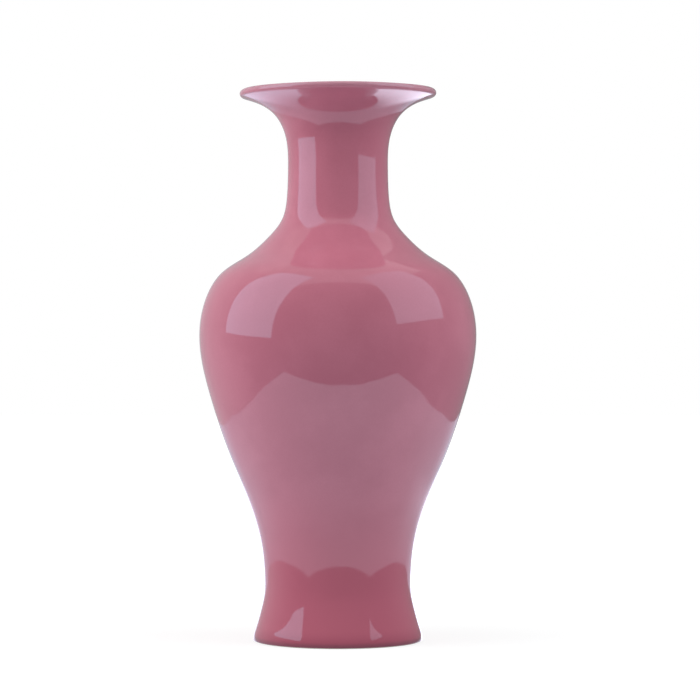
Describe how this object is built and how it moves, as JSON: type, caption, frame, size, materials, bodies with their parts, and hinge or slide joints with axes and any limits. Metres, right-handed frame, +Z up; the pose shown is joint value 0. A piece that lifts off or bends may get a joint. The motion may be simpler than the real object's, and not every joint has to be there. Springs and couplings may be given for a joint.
{
  "type": "vase",
  "caption": "Tall glazed porcelain vase with a trumpet mouth, waisted neck, high round shoulder, tapering body and splayed foot.",
  "frame": {"origin": "centre of the foot's standing face", "axes": "+Z up along the axis that the vase was thrown about; X and Y are any two level directions, as the vase is round"},
  "size_m": [0.181, 0.181, 0.36],
  "materials": {
    "pink_glaze": "glossy",
    "clear_glaze": "glossy",
    "porcelain": "matte",
    "slip": "matte"
  },
  "bodies": {
    "root": {"foot_section": "porcelain", "lower_body_section": "porcelain", "shoulder_section": "porcelain", "neck_and_mouth_section": "porcelain", "shank_seam_slip": "slip", "belly_seam_slip": "slip", "neck_seam_slip": "slip", "outer_glaze": "pink_glaze", "inner_glaze": "clear_glaze", "base_glaze": "clear_glaze"}
  },
  "joints": []
}
